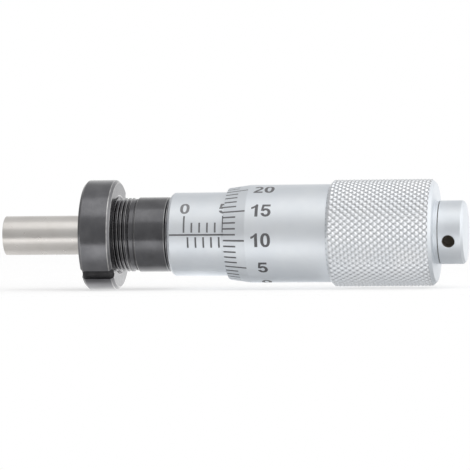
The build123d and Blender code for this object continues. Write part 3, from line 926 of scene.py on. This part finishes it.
def knurlSurface(v):
    # m counts half pitches along the grip and k half pitches round it. Grooves run where m + k and where
    # m - k are odd: u = the lesser distance to either, and the height is min(u / (1 - flat), 1) softened.
    # Both ends run down a chamfer of one millimetre per millimetre. Painted shade lies where two grooves cross
    rows, count, fine, pitch, crest, depth, band = pick(v, "rows count fine halfPitch crestRadius depth round")
    m = np.arange(rows * fine + 1)[:, None] / fine
    k = np.arange(2 * count * fine)[None, :] / fine
    first, second = np.abs((m + k) % 2 - 1), np.abs((m - k) % 2 - 1)
    near = np.maximum(band - np.abs(first - second), 0) / band
    u = np.minimum(first, second) - near * near * band * v["soften"]
    height = np.clip(u / (1 - v["flat"]), 0, 1)
    middle = crest - depth / 2
    frontLimit, rearLimit = v["barrelRadius"] + v["step"] + m * pitch, middle + (rows - m) * pitch
    r = np.minimum(np.minimum(crest - depth * (1 - height), frontLimit), rearLimit)
    r = np.where(m == rows, middle, r)
    x, theta = v["front"] + m * pitch, np.pi * k / count
    inner = aroundAxis(np.array([[x[-1, 0]], [x[0, 0]]]), v["inner"], theta)
    points = np.concatenate((aroundAxis(x, r, theta), inner))
    pits = v["recessShade"] * np.clip(1 - (first + second) / v["pit"], 0, 1)
    return points, gridFaces(len(points), points.shape[1]), np.concatenate((pits, pits[:2] * 0))


grips = [knurlSurface(knurl)]
makePiece("thimbleKnurl", grips, gripChrome, "thimble_body", "recessShade", knurl["sharpAngle"])
print("knurl done")

for number in range(0, thimble["divisions"], thimble["longStep"]):
    name, angle = f"thimbleNumeral{number}", radians(thimble["zeroLine"] - number * 360 / thimble["divisions"])
    place = (thimbleNumeral["centreX"], thimble["barrelRadius"], angle)
    makeNumeral(name, str(number), thimbleNumeral, *place, "thimble_body", thimbleInk)
print("thimble numerals done")

# Cap

cap = dict(
    front=34.15, seamWidth=0.12, seamDepth=0.2, seamShade=0.8, radius=4.0, chamfer=0.3, rear=37.40,
    tappedEnd=36.75, tappedRadius=1.47, frontRounding=0.03, rearRounding=0.05, columns=240, rows=24,
    holeX=35.57, holeAngle=16.5, holeRadius=0.8, holeDepth=1.5, holeEdge=0.07, coneSlope=0.5,
    patchX=1.05, patchArc=15.0, patchSteps=(0, 0.25, 0.5, 0.75, 0.92, 1), wallSteps=8,
    coneSteps=(0.66, 0.33, 0.0),
)


def capShell(v):
    # the outline is carried round, and the faces of a patch of the grid round the hole are left out
    front, rear, radius, chamfer, holeX = pick(v, "front rear radius chamfer holeX")
    tapped, tappedRadius = pick(v, "tappedEnd tappedRadius")
    seamEnd, seamFloor = front + v["seamWidth"], radius - v["seamDepth"]
    before = roundedOutline((
        (tapped, 0), (tapped, tappedRadius), (front, tappedRadius), (front, seamFloor), (seamEnd, seamFloor),
        (seamEnd, radius), (holeX, radius),
    ), v["frontRounding"], closed=False)[:-1]
    after = roundedOutline((
        (holeX, radius), (rear - chamfer, radius), (rear, radius - chamfer), (rear, 0),
    ), v["rearRounding"], closed=False)[1:]
    patchRows = np.linspace(holeX - v["patchX"], holeX + v["patchX"], v["rows"] + 1)
    outline = np.concatenate((before, plainRows(patchRows, radius), after))
    step = 2 * np.pi / v["columns"]
    theta = (np.arange(v["columns"]) * step + radians(v["holeAngle"]))[None, :]
    faces = gridFaces(len(outline), v["columns"], False, True)
    reach = int(round(radians(v["patchArc"]) / step))
    row, column = np.divmod(np.arange(len(faces)), v["columns"])
    inRows = (row >= len(before)) & (row < len(before) + v["rows"])
    inColumns = (column < reach) | (column >= v["columns"] - reach)
    inSeam = (outline[:, :1] < seamEnd + 0.01) & (outline[:, 1:2] < radius - 0.05)
    # painted shade in the seam between thimble and cap
    recessShade = np.repeat(inSeam * v["seamShade"], v["columns"], axis=1)
    points = aroundAxis(outline[:, :1], outline[:, 1:2], theta)
    return (points, faces[~(inRows & inColumns)], recessShade), patchRows, reach, step


def capSurfaces(v):
    # rings run from the border of the shell's patch to the hole: point = (1 - t) border + t circle, laid on the
    # cylinder, then down the hole's wall to its cone
    shell, patchRows, reach, step = capShell(v)
    radius, hole = v["radius"], v["holeRadius"]
    side = np.arange(-reach, reach + 1)
    ends = np.full(v["rows"], reach)
    loopColumn = np.concatenate((side[:-1], ends, side[:0:-1], -ends))
    firstX, lastX = np.full(2 * reach, patchRows[0]), np.full(2 * reach, patchRows[-1])
    loopX = np.concatenate((firstX, patchRows[:-1], lastX, patchRows[:0:-1]))
    border = np.stack((loopX - v["holeX"], radius * np.sin(loopColumn * step)), axis=-1)
    turn = np.arctan2(border[:, 1], border[:, 0])
    circle = np.stack((np.cos(turn), np.sin(turn)), axis=-1)
    t = np.array(v["patchSteps"])[:, None, None]
    flat = (1 - t) * border + t * (hole + v["holeEdge"]) * circle
    bottom = radius - v["holeDepth"]
    wallTop = np.sqrt(radius ** 2 - (hole * circle[:, 1]) ** 2) - v["holeEdge"]
    down = np.linspace(0, 1, v["wallSteps"])[:, None]
    wall = np.repeat((hole * circle)[None], v["wallSteps"], axis=0)
    narrow = np.array(v["coneSteps"])[:, None]
    lateral = np.concatenate((flat, wall, narrow[..., None] * hole * circle[None]))
    coneHeight = bottom - (1 - narrow) * hole * v["coneSlope"] + 0 * wallTop
    onShell = np.sqrt(radius ** 2 - flat[..., 1] ** 2)
    height = np.concatenate((onShell, (1 - down) * wallTop + down * bottom, coneHeight))
    theta = radians(v["holeAngle"]) + np.arctan2(lateral[..., 1], height)
    points = aroundAxis(v["holeX"] + lateral[..., 0], np.hypot(height, lateral[..., 1]), theta)
    recessShade = np.zeros(points.shape[:2])
    # painted shade down the hole's wall and over its cone
    recessShade[len(flat) + 1:] = 1
    return [shell, (points, gridFaces(*points.shape[:2], False, True), recessShade)]


capParts = capSurfaces(cap)
capPiece = makePiece("capTurned", capParts, capChrome, "thimble_body", "recessShade", recalculate=True)
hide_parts("thimble_cap")
print("cap done")

# Adjusting nut, which keeps its shape from the frame

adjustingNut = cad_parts["adjusting_nut"]
adjustingNut.data.materials.clear()
adjustingNut.data.materials.append(plainSteel)
print("adjusting nut finished")
